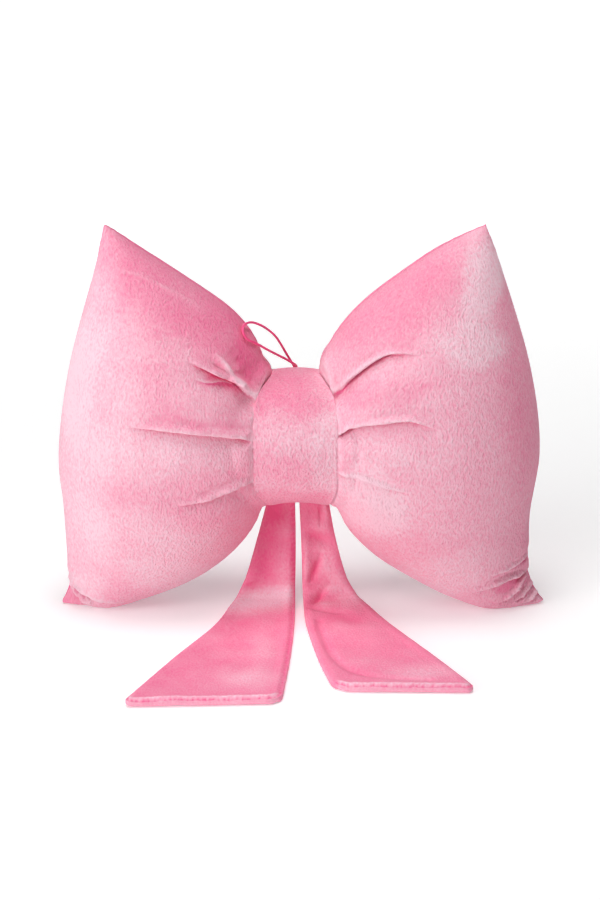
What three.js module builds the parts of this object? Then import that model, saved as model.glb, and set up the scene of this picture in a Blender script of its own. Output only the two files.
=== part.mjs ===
// Bow cushion: a plush pillow drawn in by a wide band, with two cloth tails and a cord loop.
// Millimetres, +Z up. The bow stands on the lower corners of its two lobes and faces -Y.
// The shapes are worked out around the pillow's seam, which lies in the plane y = 0.
// The whole bow is then moved so that the origin is under the middle of its box.

import * as THREE from 'three';

// Driving dimensions

const SEAM_BEHIND_ORIGIN = 64.8;    // from the origin back to the plane of the pillow's seam
const BOW_TO_THE_LEFT = 0.75;       // from the origin to the line x = 0 of the tables below

const KNOT_HEIGHT = 148.5;          // middle of the band above the floor
const CLEARANCE = 0.55;             // between the band's lining side and the pillow
const BAND_CLOTH = 5.4;             // plush folded double, with its pile
const BESIDE_BAND = 0.8;            // between the band's edges and the foot of each lobe
const SEAM_STIFFNESS = 10;          // creases and gathers fade out this far off the seam
const SEAM_CRUMPLE = 0.4;           // how much of a crease's depth shows in the outer seam
const GATHER_LIFT = 0.55;           // how far gathers lean up or down, away from the knot

const CROWN = 62;                   // half the thickness of a lobe at its fullest
const CROWN_AT = 0.46;              // where that is, from the outer seam (0) to the band (1)
const CROWN_FALL = 2.2;             // how late the lobe falls away to the band
const WAIST_HALF_HEIGHT = 49.4;     // of the pillow inside the band, at the band's middle
const WAIST_HALF_DEPTH = 44;

// How much tighter than at its middle the band is at its two edges
const TUCK = { level: 3, top: 2.4, bottom: -4 };

const TAIL_CLOTH = 6.4;             // two layers of plush, turned and closed
const TAIL_HANG_Y = 8;              // plane in which the tails hang
const TAIL_TOP_Z = 88;              // below it a tail hangs free; above it reaches the band
const TAIL_GAP = 0.4;               // between a tail's top and the band's underside
const TAIL_BEND = 18;               // radius where the cloth turns onto the floor

const LOOP_CORD = 2;                // diameter of the hanging loop's cord

// Half-width of the band, and the middle of that width, at four places around it
const BAND = {
  front: { halfWidth: 34.2, middle: -3.6 },
  top: { halfWidth: 19, middle: -3.2 },
  back: { halfWidth: 30, middle: -3 },
  bottom: { halfWidth: 25.5, middle: -1.6 },
};

// The pillow's seam, lobe by lobe: from the lower corner up to the tip, from the tip in to
// the band, and from the lower corner in to the band
const SEAM = {
  left: {
    outer: [
      { x: -200.5, z: 1.5 }, { x: -192.5, z: 22 }, { x: -193, z: 85 }, { x: -195.5, z: 135 },
      { x: -184.5, z: 207 }, { x: -162, z: 286 }, { x: -153, z: 323.5 },
    ],
    top: [
      { x: -153, z: 323.5 }, { x: -124, z: 304 }, { x: -86, z: 278 }, { x: -55, z: 255 },
      { x: -37, z: 233.5 }, { x: -28, z: 212 },
    ],
    bottom: [
      { x: -200.5, z: 1.5 }, { x: -165, z: -4 }, { x: -124, z: 8.5 }, { x: -88, z: 24 },
      { x: -59, z: 45 }, { x: -39, z: 68 }, { x: -31.5, z: 84 },
    ],
  },
  right: {
    outer: [
      { x: 202, z: 2.5 }, { x: 191, z: 22 }, { x: 188, z: 80 }, { x: 194, z: 139 },
      { x: 184, z: 207 }, { x: 159.5, z: 286 }, { x: 146, z: 325 },
    ],
    top: [
      { x: 146, z: 325 }, { x: 109, z: 305.5 }, { x: 80, z: 285 }, { x: 54.5, z: 265 },
      { x: 35, z: 244.5 }, { x: 21.5, z: 223 },
    ],
    bottom: [
      { x: 202, z: 2.5 }, { x: 166, z: -5 }, { x: 126, z: 8 }, { x: 94, z: 25 },
      { x: 63, z: 45 }, { x: 40, z: 68 }, { x: 31, z: 85 },
    ],
  },
};

// Gathers that run out from the band: where on the band (degrees up from its front), where
// they end, how deep they start, how wide they are and how far they bow upwards half way.
// lip is +1 where the cloth above rolls over the gather and -1 where the cloth below does.
const GATHERS = [
  { lobe: 'left', face: 'front', angle: 46, endX: -87, endZ: 225, depth: 7.5, width: 4.6, bow: 4, lip: 1 },
  { lobe: 'left', face: 'front', angle: 44, endX: -83, endZ: 211, depth: 4, width: 4, bow: 3, lip: 1 },
  { lobe: 'left', face: 'front', angle: 60, endX: -62, endZ: 224, depth: 4, width: 4, bow: 3, lip: -1 },
  { lobe: 'left', face: 'front', angle: 8, endX: -140, endZ: 174, depth: 8, width: 4.8, bow: 5, lip: 1 },
  { lobe: 'left', face: 'front', angle: -34, endX: -98, endZ: 110, depth: 6.5, width: 4.6, bow: 1, lip: 1 },
  { lobe: 'right', face: 'front', angle: 58, endX: 94, endZ: 229, depth: 8, width: 4.6, bow: 11, lip: 1 },
  { lobe: 'right', face: 'front', angle: 14, endX: 112, endZ: 171, depth: 8, width: 4.8, bow: 10, lip: 1 },
  { lobe: 'right', face: 'front', angle: -27, endX: 86, endZ: 119, depth: 6.5, width: 4.6, bow: 2.5, lip: 1 },
  { lobe: 'left', face: 'back', angle: 50, endX: -86, endZ: 222, depth: 7, width: 5, bow: 4, lip: 1 },
  { lobe: 'left', face: 'back', angle: 4, endX: -104, endZ: 158, depth: 7.5, width: 5, bow: 3, lip: 1 },
  { lobe: 'left', face: 'back', angle: -42, endX: -80, endZ: 84, depth: 6, width: 5, bow: 0, lip: 1 },
  { lobe: 'right', face: 'back', angle: 46, endX: 88, endZ: 220, depth: 7, width: 5, bow: 6, lip: 1 },
  { lobe: 'right', face: 'back', angle: -2, endX: 108, endZ: 150, depth: 7.5, width: 5, bow: 2, lip: 1 },
  { lobe: 'right', face: 'back', angle: -40, endX: 78, endZ: 88, depth: 6, width: 5, bow: 0, lip: 1 },
];

// Creases across the lower corners, where the bow's weight folds them: distance of each from
// the corner's tip, along a line that climbs inwards over the lobe
const CREASE_CLIMB = 56;            // degrees of that line above the floor
const CREASE_SPAN = 36;             // how far the creases reach to either side of it
const CREASE_RISE = 0.55;           // ridges between the creases, against the creases' depth
const CREASES = {
  left: [
    { at: 17.5, depth: 4.2, width: 2.8 }, { at: 26, depth: 3.4, width: 3.2 },
  ],
  right: [
    { at: 11, depth: 1.5, width: 2.6 }, { at: 18.5, depth: 2.2, width: 2.8 },
    { at: 26.5, depth: 2.6, width: 3 }, { at: 35.5, depth: 3.2, width: 3.2 },
    { at: 46, depth: 3.6, width: 3.8 },
  ],
};

// The section of every gather against its width: a narrow trough under the lip, a wider slope
// on its other side and a roll of cloth beyond the lip
const GATHER_SECTION = { underLip: 0.9, slope: 2, rollAt: 2, rollWidth: 1.4, rollRise: 0.4 };
const GATHER_SPREAD = { atBand: 0.85, atEnd: 1.25 };
const GATHER_RUNOUT = 0.8;          // below 1 a gather keeps its depth for longer
const ROLL_STARTS = 0.11;           // part of the lobe beside the band where rolls are held in

// The band's long edges in section: across, with 1 where the lobes start, and through the
// cloth, from its lining side (0) to its face (1)
const BAND_EDGE = [
  { across: 0.93, through: 1 }, { across: 0.975, through: 0.8 }, { across: 0.985, through: 0.5 },
  { across: 0.97, through: 0.2 }, { across: 0.93, through: 0 },
];

// The tails' seams and hem, against the cloth's thickness and in length of cloth
const TAIL_SEAM = 0.35;
const HEM = { thin: 0.45, length: 3, edge: 1 };

// Edges of each tail, by the length of cloth down from the band
const TAILS = {
  left: {
    length: 275, hemSlope: -5,
    edges: [
      { down: 0, inner: -4, outer: -27 }, { down: 35, inner: -3.4, outer: -36 },
      { down: 76, inner: -4, outer: -47.5 }, { down: 100, inner: -4.2, outer: -55 },
      { down: 141, inner: -4.9, outer: -66 }, { down: 200, inner: -8, outer: -95 },
      { down: 275, inner: -14, outer: -129.5 },
    ],
    dents: [
      { down: 22, across: 0.75, depth: 1.6, size: 12 }, { down: 66, across: 0.3, depth: 1.2, size: 14 },
      { down: 118, across: 0.6, depth: 1.2, size: 22 }, { down: 196, across: 0.35, depth: 1, size: 26 },
    ],
  },
  right: {
    length: 253, hemSlope: -2,
    edges: [
      { down: 0, inner: -0.8, outer: 23.6 }, { down: 35, inner: 0.9, outer: 30 },
      { down: 76, inner: 2.2, outer: 41.6 }, { down: 100, inner: 3.6, outer: 53.5 },
      { down: 135, inner: 6, outer: 68 }, { down: 200, inner: 15.5, outer: 103 },
      { down: 253, inner: 27, outer: 130 },
    ],
    dents: [
      { down: 14, across: 0.55, depth: 2.4, size: 9 }, { down: 46, across: 0.25, depth: 2.4, size: 10 },
      { down: 72, across: 0.3, depth: 2.2, size: 10 }, { down: 104, across: 0.5, depth: 1.6, size: 16 },
      { down: 176, across: 0.6, depth: 1, size: 26 },
    ],
  },
};

// The loop's route, from its root on the band's back round its far end and back to its root
const LOOP_ROUTE = [
  { x: -4.5, y: 30.4, z: 194 }, { x: -4.7, y: 30.1, z: 196.2 }, { x: -5.6, y: 29.2, z: 198.8 },
  { x: -7.2, y: 27.5, z: 202.0 }, { x: -11.0, y: 24.0, z: 209.7 }, { x: -15.5, y: 20.0, z: 219.0 },
  { x: -18.8, y: 17.0, z: 225.2 }, { x: -22.8, y: 13.5, z: 230.7 }, { x: -28.8, y: 8.0, z: 237.0 },
  { x: -34.5, y: 2.2, z: 241.5 }, { x: -38.5, y: -2.5, z: 243.8 }, { x: -42.0, y: -7.1, z: 244.4 },
  { x: -44.4, y: -11.9, z: 243.4 }, { x: -44.9, y: -15.7, z: 240.4 }, { x: -43.2, y: -17.2, z: 236.4 },
  { x: -40.0, y: -15.6, z: 233.0 }, { x: -36.2, y: -11.5, z: 230.1 }, { x: -31.8, y: -6.0, z: 225.9 },
  { x: -26.7, y: 1.0, z: 220.6 }, { x: -21.8, y: 7.5, z: 215.8 }, { x: -16.7, y: 13.2, z: 211.3 },
  { x: -11.6, y: 17.8, z: 207.1 }, { x: -7.2, y: 20.6, z: 203.6 }, { x: -4.6, y: 23.0, z: 201.2 },
  { x: -2.8, y: 25.8, z: 199.7 }, { x: -2.0, y: 28.1, z: 198.2 }, { x: -1.7, y: 29.2, z: 197.2 },
  { x: -1.5, y: 30.1, z: 195.7 }, { x: -1.4, y: 30.4, z: 194 },
];

// How finely each piece is faceted
const LOBE_COLUMNS = 28;
const WAIST_COLUMNS = 5;
const HALF_ROWS = 48;
const ROWS_LOW = 1.12;              // above 1 the rows lie closer together low on the lobes
const BAND_STATIONS = 48;
const BAND_FACE = 8;
const BAND_LINING = 5;
const TAIL_STATIONS = 30;
const TAIL_ACROSS = 8;
const LOOP_STEPS = 60;
const LOOP_SIDES = 8;

const PLUSH = { roughness: 0.95, metalness: 0 };
const FINISHES = {
  lobes: { color: 0xf0b3c8, ...PLUSH },
  band: { color: 0xee9fb9, ...PLUSH },
  tails: { color: 0xe87fa5, ...PLUSH },
  cord: { color: 0xe2577f, roughness: 0.55, metalness: 0 },
};

const clamp = THREE.MathUtils.clamp;
const lerp = THREE.MathUtils.lerp;
const radians = THREE.MathUtils.degToRad;
const hump = (distance, width) => Math.exp(-((distance / width) ** 2));

// A closed body from rings of equal length, each joined to the next, with its ends capped
function ringBody(rings, closedEnds) {
  const count = rings[0].length;
  const positions = rings.flat().flatMap((p) => [p.x, p.y, p.z]);
  const triangles = [];
  const steps = closedEnds ? rings.length : rings.length - 1;
  for (let i = 0; i < steps; i += 1) {
    const here = i * count;
    const next = ((i + 1) % rings.length) * count;
    for (let k = 0; k < count; k += 1) {
      const after = (k + 1) % count;
      triangles.push(here + k, next + k, next + after, here + k, next + after, here + after);
    }
  }
  if (!closedEnds) {
    const last = (rings.length - 1) * count;
    for (let k = 1; k < count - 1; k += 1) {
      triangles.push(0, k, k + 1);
      triangles.push(last, last + k + 1, last + k);
    }
  }
  return facingOut(positions, triangles);
}

// A geometry whose faces point out, whichever way its rings were wound
function facingOut(positions, triangles) {
  const geometry = new THREE.BufferGeometry();
  geometry.setAttribute('position', new THREE.Float32BufferAttribute(positions, 3));
  const [a, b, c] = [new THREE.Vector3(), new THREE.Vector3(), new THREE.Vector3()];
  let volume = 0;
  for (let i = 0; i < triangles.length; i += 3) {
    a.fromArray(positions, 3 * triangles[i]);
    b.fromArray(positions, 3 * triangles[i + 1]);
    c.fromArray(positions, 3 * triangles[i + 2]);
    volume += a.dot(b.cross(c));
  }
  geometry.setIndex(volume > 0 ? triangles : triangles.slice().reverse());
  geometry.computeVertexNormals();
  return geometry;
}

// The band's width at an angle around it: 0 at the front, 90 degrees at the top
function bandAt(angle) {
  const upright = Math.sin(angle) >= 0 ? Math.sin(angle) ** 6 : Math.sin(angle) ** 4;
  const level = Math.cos(angle) >= 0 ? BAND.front : BAND.back;
  const crossing = Math.sin(angle) >= 0 ? BAND.top : BAND.bottom;
  return {
    halfWidth: lerp(level.halfWidth, crossing.halfWidth, upright),
    middle: lerp(level.middle, crossing.middle, upright),
  };
}

function waistHalves(angle, across) {
  const upward = (1 + Math.sin(angle)) / 2;
  return {
    halfDepth: WAIST_HALF_DEPTH - TUCK.level * across ** 2,
    halfHeight: WAIST_HALF_HEIGHT - lerp(TUCK.bottom, TUCK.top, upward) * across ** 2,
  };
}

// A point of the waist: across runs from -1 to 1 over the band's width, raised is the
// distance outside the pillow's surface
function waistPoint(angle, across, raised = 0) {
  const { halfWidth, middle } = bandAt(angle);
  const { halfDepth, halfHeight } = waistHalves(angle, across);
  return new THREE.Vector3(
    middle + across * (halfWidth + BESIDE_BAND),
    -(halfDepth + raised) * Math.cos(angle),
    KNOT_HEIGHT + (halfHeight + raised) * Math.sin(angle),
  );
}

// Angles run from the pillow's lower seam (0) up one face to its upper seam (pi)
const aroundFront = (phi) => phi - Math.PI / 2;
const aroundBack = (phi) => (3 * Math.PI) / 2 - phi;

const SIDE = { left: -1, right: 1 };
const FACE = { front: -1, back: 1 };

function seamCurve(rows, waist) {
  const points = rows.map((row) => new THREE.Vector2(row.x, row.z));
  if (waist) points.push(new THREE.Vector2(waist.x, waist.z));
  return new THREE.SplineCurve(points);
}

// The flat outline of a lobe, as curves that its two faces share
function lobeOutline(lobe) {
  const rows = SEAM[lobe];
  const side = SIDE[lobe];
  return {
    outer: seamCurve(rows.outer),
    top: seamCurve(rows.top, waistPoint(Math.PI / 2, side)),
    bottom: seamCurve(rows.bottom, waistPoint(-Math.PI / 2, side)),
  };
}

// A place on the flat outline, from the outer seam (0) to the band (1) and from the lower
// seam (phi 0) to the upper seam (phi pi), blended from the four sides around it
function outlinePlace(outline, lobe, face, inward, phi) {
  const up = (1 - Math.cos(phi)) / 2;
  const around = face === 'front' ? aroundFront(phi) : aroundBack(phi);
  const waist3 = waistPoint(around, SIDE[lobe]);
  const waist = new THREE.Vector2(waist3.x, waist3.z);
  const bottom = outline.bottom.getPointAt(inward);
  const top = outline.top.getPointAt(inward);
  const outer = outline.outer.getPointAt(up);
  const corners = new THREE.Vector2()
    .addScaledVector(outline.bottom.getPointAt(0), (1 - inward) * (1 - up))
    .addScaledVector(outline.bottom.getPointAt(1), inward * (1 - up))
    .addScaledVector(outline.top.getPointAt(0), (1 - inward) * up)
    .addScaledVector(outline.top.getPointAt(1), inward * up);
  return bottom.multiplyScalar(1 - up)
    .addScaledVector(top, up)
    .addScaledVector(outer, 1 - inward)
    .addScaledVector(waist, inward)
    .sub(corners);
}

// Half the thickness of a lobe along its middle, from the outer seam (0) to the band (1)
function crownAt(inward) {
  if (inward < CROWN_AT) return CROWN * Math.sqrt(1 - (1 - inward / CROWN_AT) ** 2);
  const edge = WAIST_HALF_DEPTH - TUCK.level;
  const fall = ((inward - CROWN_AT) / (1 - CROWN_AT)) ** CROWN_FALL;
  return lerp(CROWN, edge, fall);
}

// How far the gathers push a place of a lobe's face in (negative) or out (positive)
function gatherRelief(lobe, face, x, z, inward) {
  const clearOfBand = clamp((1 - inward) / ROLL_STARTS, 0, 1);
  let relief = 0;
  for (const gather of GATHERS) {
    if (gather.lobe !== lobe || gather.face !== face) continue;
    const angle = radians(face === 'front' ? gather.angle : 180 - gather.angle);
    const start = waistPoint(angle, SIDE[lobe]);
    const run = Math.hypot(gather.endX - start.x, gather.endZ - start.z);
    const alongX = (gather.endX - start.x) / run;
    const alongZ = (gather.endZ - start.z) / run;
    const along = ((x - start.x) * alongX + (z - start.z) * alongZ) / run;
    const up = (alongX * (z - start.z) - alongZ * (x - start.x)) * Math.sign(alongX);
    const onLine = clamp(along, 0, 1);
    const over = (up - gather.bow * 4 * onLine * (1 - onLine)) * gather.lip;
    const fade = along < 0 ? 1 : clamp(1 - along, 0, 1) ** GATHER_RUNOUT;
    const spread = gather.width * lerp(GATHER_SPREAD.atBand, GATHER_SPREAD.atEnd, onLine);
    const { underLip, slope, rollAt, rollWidth, rollRise } = GATHER_SECTION;
    const trough = hump(over, spread * (over > 0 ? underLip : slope));
    const roll = hump(over - rollAt * spread, rollWidth * spread) * clearOfBand;
    relief += gather.depth * fade * (rollRise * roll - trough);
  }
  return relief;
}

// The creases over a lower corner, as a push in (negative) or out (positive)
function creaseRelief(lobe, x, z) {
  const tip = SEAM[lobe].outer[0];
  const inX = Math.abs(tip.x) - Math.abs(x);
  const climb = radians(CREASE_CLIMB);
  const fromTip = inX * Math.cos(climb) + (z - tip.z) * Math.sin(climb);
  const aside = (z - tip.z) * Math.cos(climb) - inX * Math.sin(climb);
  let relief = 0;
  for (const crease of CREASES[lobe]) {
    const beyond = fromTip - crease.at;
    relief -= crease.depth * hump(beyond, crease.width);
    relief += CREASE_RISE * crease.depth * hump(beyond - 1.5 * crease.width, crease.width);
  }
  return relief * hump(aside, CREASE_SPAN);
}

// A point of a lobe's surface
function lobePoint(outline, lobe, face, inward, phi) {
  const place = outlinePlace(outline, lobe, face, inward, phi);
  const swell = Math.sin(phi);
  const point = new THREE.Vector3(place.x, FACE[face] * crownAt(inward) * swell, place.y);
  const crease = creaseRelief(lobe, point.x, point.z) * (1 - inward);
  const awayFromSeam = clamp(Math.abs(point.y) / SEAM_STIFFNESS, 0, 1);
  const gather = gatherRelief(lobe, face, point.x, point.z, inward) * awayFromSeam;
  const outward = new THREE.Vector3(0, point.y, GATHER_LIFT * (point.z - KNOT_HEIGHT));
  point.x += SIDE[lobe] * SEAM_CRUMPLE * crease;
  point.y += FACE[face] * crease * awayFromSeam;
  point.addScaledVector(outward.normalize(), gather);
  point.z = Math.max(point.z, 0);
  return point;
}

// The pillow: two faces over one outline, joined along the seam
function cushionGeometry() {
  const left = lobeOutline('left');
  const right = lobeOutline('right');
  const columns = [];
  const eased = (t) => (1 - Math.cos(Math.PI * t)) / 2;
  for (let i = 0; i <= LOBE_COLUMNS; i += 1) {
    const inward = eased(i / LOBE_COLUMNS);
    columns.push((face, phi) => lobePoint(left, 'left', face, inward, phi));
  }
  for (let i = 1; i < WAIST_COLUMNS; i += 1) {
    const across = lerp(-1, 1, i / WAIST_COLUMNS);
    columns.push((face, phi) => waistPoint(face === 'front' ? aroundFront(phi) : aroundBack(phi), across));
  }
  for (let i = LOBE_COLUMNS; i >= 0; i -= 1) {
    const inward = eased(i / LOBE_COLUMNS);
    columns.push((face, phi) => lobePoint(right, 'right', face, inward, phi));
  }
  const positions = [];
  const last = columns.length - 1;
  const numbers = { front: [], back: [] };
  columns.forEach((column, i) => {
    numbers.front.push([]);
    numbers.back.push([]);
    for (let j = 0; j <= HALF_ROWS; j += 1) {
      const phi = Math.PI * (j / HALF_ROWS) ** ROWS_LOW;
      const onSeam = i === 0 || i === last || j === 0 || j === HALF_ROWS;
      for (const face of ['front', 'back']) {
        if (onSeam && face === 'back') {
          numbers.back[i].push(numbers.front[i][j]);
          continue;
        }
        const point = column(face, phi);
        numbers[face][i].push(positions.length / 3);
        positions.push(point.x, onSeam ? 0 : point.y, point.z);
      }
    }
  });
  const triangles = [];
  for (let i = 0; i < last; i += 1) {
    for (let j = 0; j < HALF_ROWS; j += 1) {
      for (const face of ['front', 'back']) {
        const n = numbers[face];
        const corners = [n[i][j], n[i + 1][j], n[i + 1][j + 1], n[i][j + 1]];
        if (face === 'back') corners.reverse();
        triangles.push(corners[0], corners[1], corners[2], corners[0], corners[2], corners[3]);
      }
    }
  }
  return facingOut(positions, triangles);
}

// The band: a rounded strip of cloth closed into a ring round the pillow's waist
function bandGeometry() {
  const flat = BAND_EDGE[0].across;
  const section = [];
  for (let i = 1; i < BAND_FACE; i += 1) {
    section.push({ across: lerp(-flat, flat, i / BAND_FACE), through: 1 });
  }
  section.push(...BAND_EDGE);
  for (let i = 1; i < BAND_LINING; i += 1) {
    section.push({ across: lerp(flat, -flat, i / BAND_LINING), through: 0 });
  }
  for (const place of BAND_EDGE.toReversed()) {
    section.push({ across: -place.across, through: place.through });
  }
  const rings = [];
  for (let i = 0; i < BAND_STATIONS; i += 1) {
    const angle = (2 * Math.PI * i) / BAND_STATIONS;
    rings.push(section.map((place) => (
      waistPoint(angle, place.across, CLEARANCE + place.through * BAND_CLOTH)
    )));
  }
  return ringBody(rings, true);
}

// Height of the band's underside over a place in the plan
function bandUnderside(x, y) {
  const under = -Math.PI / 2;
  const { halfWidth, middle } = bandAt(under);
  const across = (x - middle) / (halfWidth + BESIDE_BAND);
  const { halfDepth, halfHeight } = waistHalves(under, across);
  const outside = CLEARANCE + BAND_CLOTH;
  return KNOT_HEIGHT - (halfHeight + outside) * Math.sqrt(1 - (y / (halfDepth + outside)) ** 2);
}

// Where a tail's middle line is, by the length of cloth down from the band
function tailPath(down) {
  const rest = TAIL_CLOTH / 2;
  const straight = TAIL_TOP_Z - rest - TAIL_BEND;
  const bend = (Math.PI / 2) * TAIL_BEND;
  if (down < straight) return { y: TAIL_HANG_Y, z: TAIL_TOP_Z - down, tilt: 0 };
  const tilt = clamp((down - straight) / TAIL_BEND, 0, Math.PI / 2);
  return {
    y: TAIL_HANG_Y - TAIL_BEND * (1 - Math.cos(tilt)) - Math.max(down - straight - bend, 0),
    z: rest + TAIL_BEND * (1 - Math.sin(tilt)),
    tilt,
  };
}

// A tail's edge at a length down from the band, smoothly through the table's rows
function tailEdge(edges, down, name) {
  const curve = new THREE.SplineCurve(edges.map((row) => new THREE.Vector2(row.down, row[name])));
  let low = 0;
  let high = 1;
  for (let i = 0; i < 24; i += 1) {
    const half = (low + high) / 2;
    if (curve.getPoint(half).x < down) low = half;
    else high = half;
  }
  return curve.getPoint(low).y;
}

// How far the dents in a tail's face push it in, at a share of its width and a length down
function dentsAt(tail, share, down, width) {
  let depth = 0;
  for (const dent of tail.dents) {
    const aside = (share - dent.across) * width;
    depth += dent.depth * hump(Math.hypot(aside, down - dent.down), dent.size);
  }
  return depth;
}

// One closed ring round a tail: along its face from the inner edge, and back along its back
function tailRing(tail, down) {
  const { y, z, tilt } = tailPath(down);
  const inner = tailEdge(tail.edges, down, 'inner');
  const outer = tailEdge(tail.edges, down, 'outer');
  const beforeHem = clamp((tail.length - down) / HEM.length, 0, 1);
  const half = (TAIL_CLOTH / 2) * lerp(HEM.thin, 1, Math.sqrt(beforeHem));
  const ring = [];
  for (const side of ['face', 'back']) {
    for (let k = 0; k <= TAIL_ACROSS; k += 1) {
      const share = (side === 'face' ? k : TAIL_ACROSS - k) / TAIL_ACROSS;
      const onSeam = share === 0 || share === 1;
      let lift = onSeam ? half * TAIL_SEAM : half;
      if (side === 'face' && !onSeam) lift -= dentsAt(tail, share, down, Math.abs(outer - inner));
      if (side === 'back') lift = -lift;
      const skew = tail.hemSlope * (share - 0.5) * (down / tail.length) ** 3;
      ring.push(new THREE.Vector3(
        lerp(inner, outer, share),
        y - lift * Math.cos(tilt) + skew * Math.sin(tilt),
        z + lift * Math.sin(tilt),
      ));
    }
  }
  return ring;
}

// A tail: two layers of plush closed along their edges, hung from the band and laid forward
function tailGeometry(tail) {
  const rings = [];
  for (let i = 0; i < TAIL_STATIONS; i += 1) {
    rings.push(tailRing(tail, ((tail.length - HEM.length) * i) / (TAIL_STATIONS - 1)));
  }
  rings.push(tailRing(tail, tail.length - HEM.edge), tailRing(tail, tail.length));
  for (const point of rings[0]) point.z = bandUnderside(point.x, point.y) - TAIL_GAP;
  return ringBody(rings, false);
}

// The hanging loop: an eight-sided tube along its route
function loopGeometry() {
  const route = new THREE.CatmullRomCurve3(LOOP_ROUTE.map((p) => new THREE.Vector3(p.x, p.y, p.z)));
  const section = new THREE.Shape();
  section.absarc(0, 0, LOOP_CORD / 2, 0, 2 * Math.PI);
  return new THREE.ExtrudeGeometry(section, {
    steps: LOOP_STEPS, curveSegments: LOOP_SIDES / 2, bevelEnabled: false, extrudePath: route,
  });
}

function piece(name, geometry, finish) {
  const mesh = new THREE.Mesh(geometry, new THREE.MeshStandardMaterial(finish));
  mesh.name = name;
  return mesh;
}

const bow = new THREE.Group();
bow.position.set(-BOW_TO_THE_LEFT, SEAM_BEHIND_ORIGIN, 0);
bow.add(piece('cushion', cushionGeometry(), FINISHES.lobes));
bow.add(piece('knot_band', bandGeometry(), FINISHES.band));
bow.add(piece('tail_left', tailGeometry(TAILS.left), FINISHES.tails));
bow.add(piece('tail_right', tailGeometry(TAILS.right), FINISHES.tails));
bow.add(piece('hanging_loop', loopGeometry(), FINISHES.cord));

const root = new THREE.Group();
root.add(bow);

export default root;
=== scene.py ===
# Bow cushion in pink plush: its looks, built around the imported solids.

import math
from types import SimpleNamespace

import bpy
import numpy as np
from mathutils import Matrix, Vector, noise


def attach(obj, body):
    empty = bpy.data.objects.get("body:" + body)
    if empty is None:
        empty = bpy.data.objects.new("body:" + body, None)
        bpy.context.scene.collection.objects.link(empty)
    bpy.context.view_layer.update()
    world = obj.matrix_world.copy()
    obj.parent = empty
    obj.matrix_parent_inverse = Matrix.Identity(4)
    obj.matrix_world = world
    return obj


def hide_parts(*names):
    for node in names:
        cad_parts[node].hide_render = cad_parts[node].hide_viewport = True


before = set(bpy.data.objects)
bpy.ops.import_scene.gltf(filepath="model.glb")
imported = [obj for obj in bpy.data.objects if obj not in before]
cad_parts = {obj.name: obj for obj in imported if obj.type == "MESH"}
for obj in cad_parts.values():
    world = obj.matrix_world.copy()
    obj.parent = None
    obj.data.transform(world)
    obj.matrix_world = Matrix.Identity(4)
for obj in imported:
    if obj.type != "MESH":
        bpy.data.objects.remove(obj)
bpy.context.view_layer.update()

# Sizes are in millimetres from the bow's own zero: on the floor, under the knot, in the plane
# of the pillow's seam. The face of the bow looks towards -Y.

MM = 0.001
ZERO = np.array([-0.75, 64.8, 0.0])
KNOT_Z = 148.5
BAND_MIDDLE_X = -3.6
BAND_HALF_WIDTH = 34.2


def in_frame(points):
    return (np.asarray(points, float) + ZERO) * MM


def linked(name, data):
    """A new object around its data, put into the scene."""
    thing = bpy.data.objects.new(name, data)
    bpy.context.scene.collection.objects.link(thing)
    return thing


def put_and_aimed(thing, place, aim):
    """Puts a camera or a light at its place, both in metres, and turns it to its aim."""
    thing.location = place
    thing.rotation_euler = (Vector(aim) - Vector(place)).to_track_quat("-Z", "Y").to_euler()


# Camera, as high above the bow and as far off as the photograph was taken

CAMERA_PLACE = (0, -1597.5, 716.9)
CAMERA_AIM = (0, 0, 135.5)
CAMERA_LENS = 84

camera_data = bpy.data.cameras.new("camera")
camera_data.lens = CAMERA_LENS
camera_data.sensor_width = 36
camera = linked("camera", camera_data)
put_and_aimed(camera, in_frame(CAMERA_PLACE), in_frame(CAMERA_AIM))
bpy.context.scene.camera = camera


# Tables and lines

def table(columns, *rows):
    """A table with named columns, as one dictionary for each row."""
    names = columns.split()
    return [dict(zip(names, row)) for row in rows]


def bell(distance, width):
    return np.exp(-(np.asarray(distance) / width) ** 2)


def ramp(value, low, high):
    share = np.clip((np.asarray(value) - low) / (high - low), 0, 1)
    return share * share * (3 - 2 * share)


def unit(line):
    return line / np.linalg.norm(line)


def ripple(points, size, seed):
    """Smooth noise of about that size in millimetres, from -1 to 1, the same each run."""
    shift = Vector((seed * 17.3, seed * 5.1, seed * 9.7))
    return np.array([noise.noise(Vector(p) / size + shift) for p in points])


def smooth_line(rows, steps=48):
    """A smooth line through the rows of a table, as evenly spaced points."""
    rows = np.asarray(rows, float)
    padded = np.vstack([2 * rows[0] - rows[1], rows, 2 * rows[-1] - rows[-2]])
    pieces = []
    for i in range(len(rows) - 1):
        a, b, c, d = padded[i : i + 4]
        t = np.linspace(0, 1, 12, endpoint=False)[:, None]
        pieces.append(0.5 * (2 * b + (c - a) * t + (2 * a - 5 * b + 4 * c - d) * t**2
                             + (3 * b - a - 3 * c + d) * t**3))
    line = np.vstack([*pieces, rows[-1:]])
    run = np.r_[0, np.cumsum(np.linalg.norm(np.diff(line, axis=0), axis=1))]
    even = np.linspace(0, run[-1], steps)
    return np.stack([np.interp(even, run, line[:, k]) for k in range(line.shape[1])], 1)


# Work on meshes

def only(piece):
    bpy.ops.object.select_all(action="DESELECT")
    piece.select_set(True)
    bpy.context.view_layer.objects.active = piece


def read_points(piece):
    flat = np.empty(3 * len(piece.data.vertices))
    piece.data.vertices.foreach_get("co", flat)
    return flat.reshape(-1, 3) / MM - ZERO


def write_points(piece, points):
    piece.data.vertices.foreach_set("co", in_frame(points).ravel())
    piece.data.update()


def read_normals(piece):
    flat = np.empty(3 * len(piece.data.vertices))
    piece.data.vertices.foreach_get("normal", flat)
    return flat.reshape(-1, 3)


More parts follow.
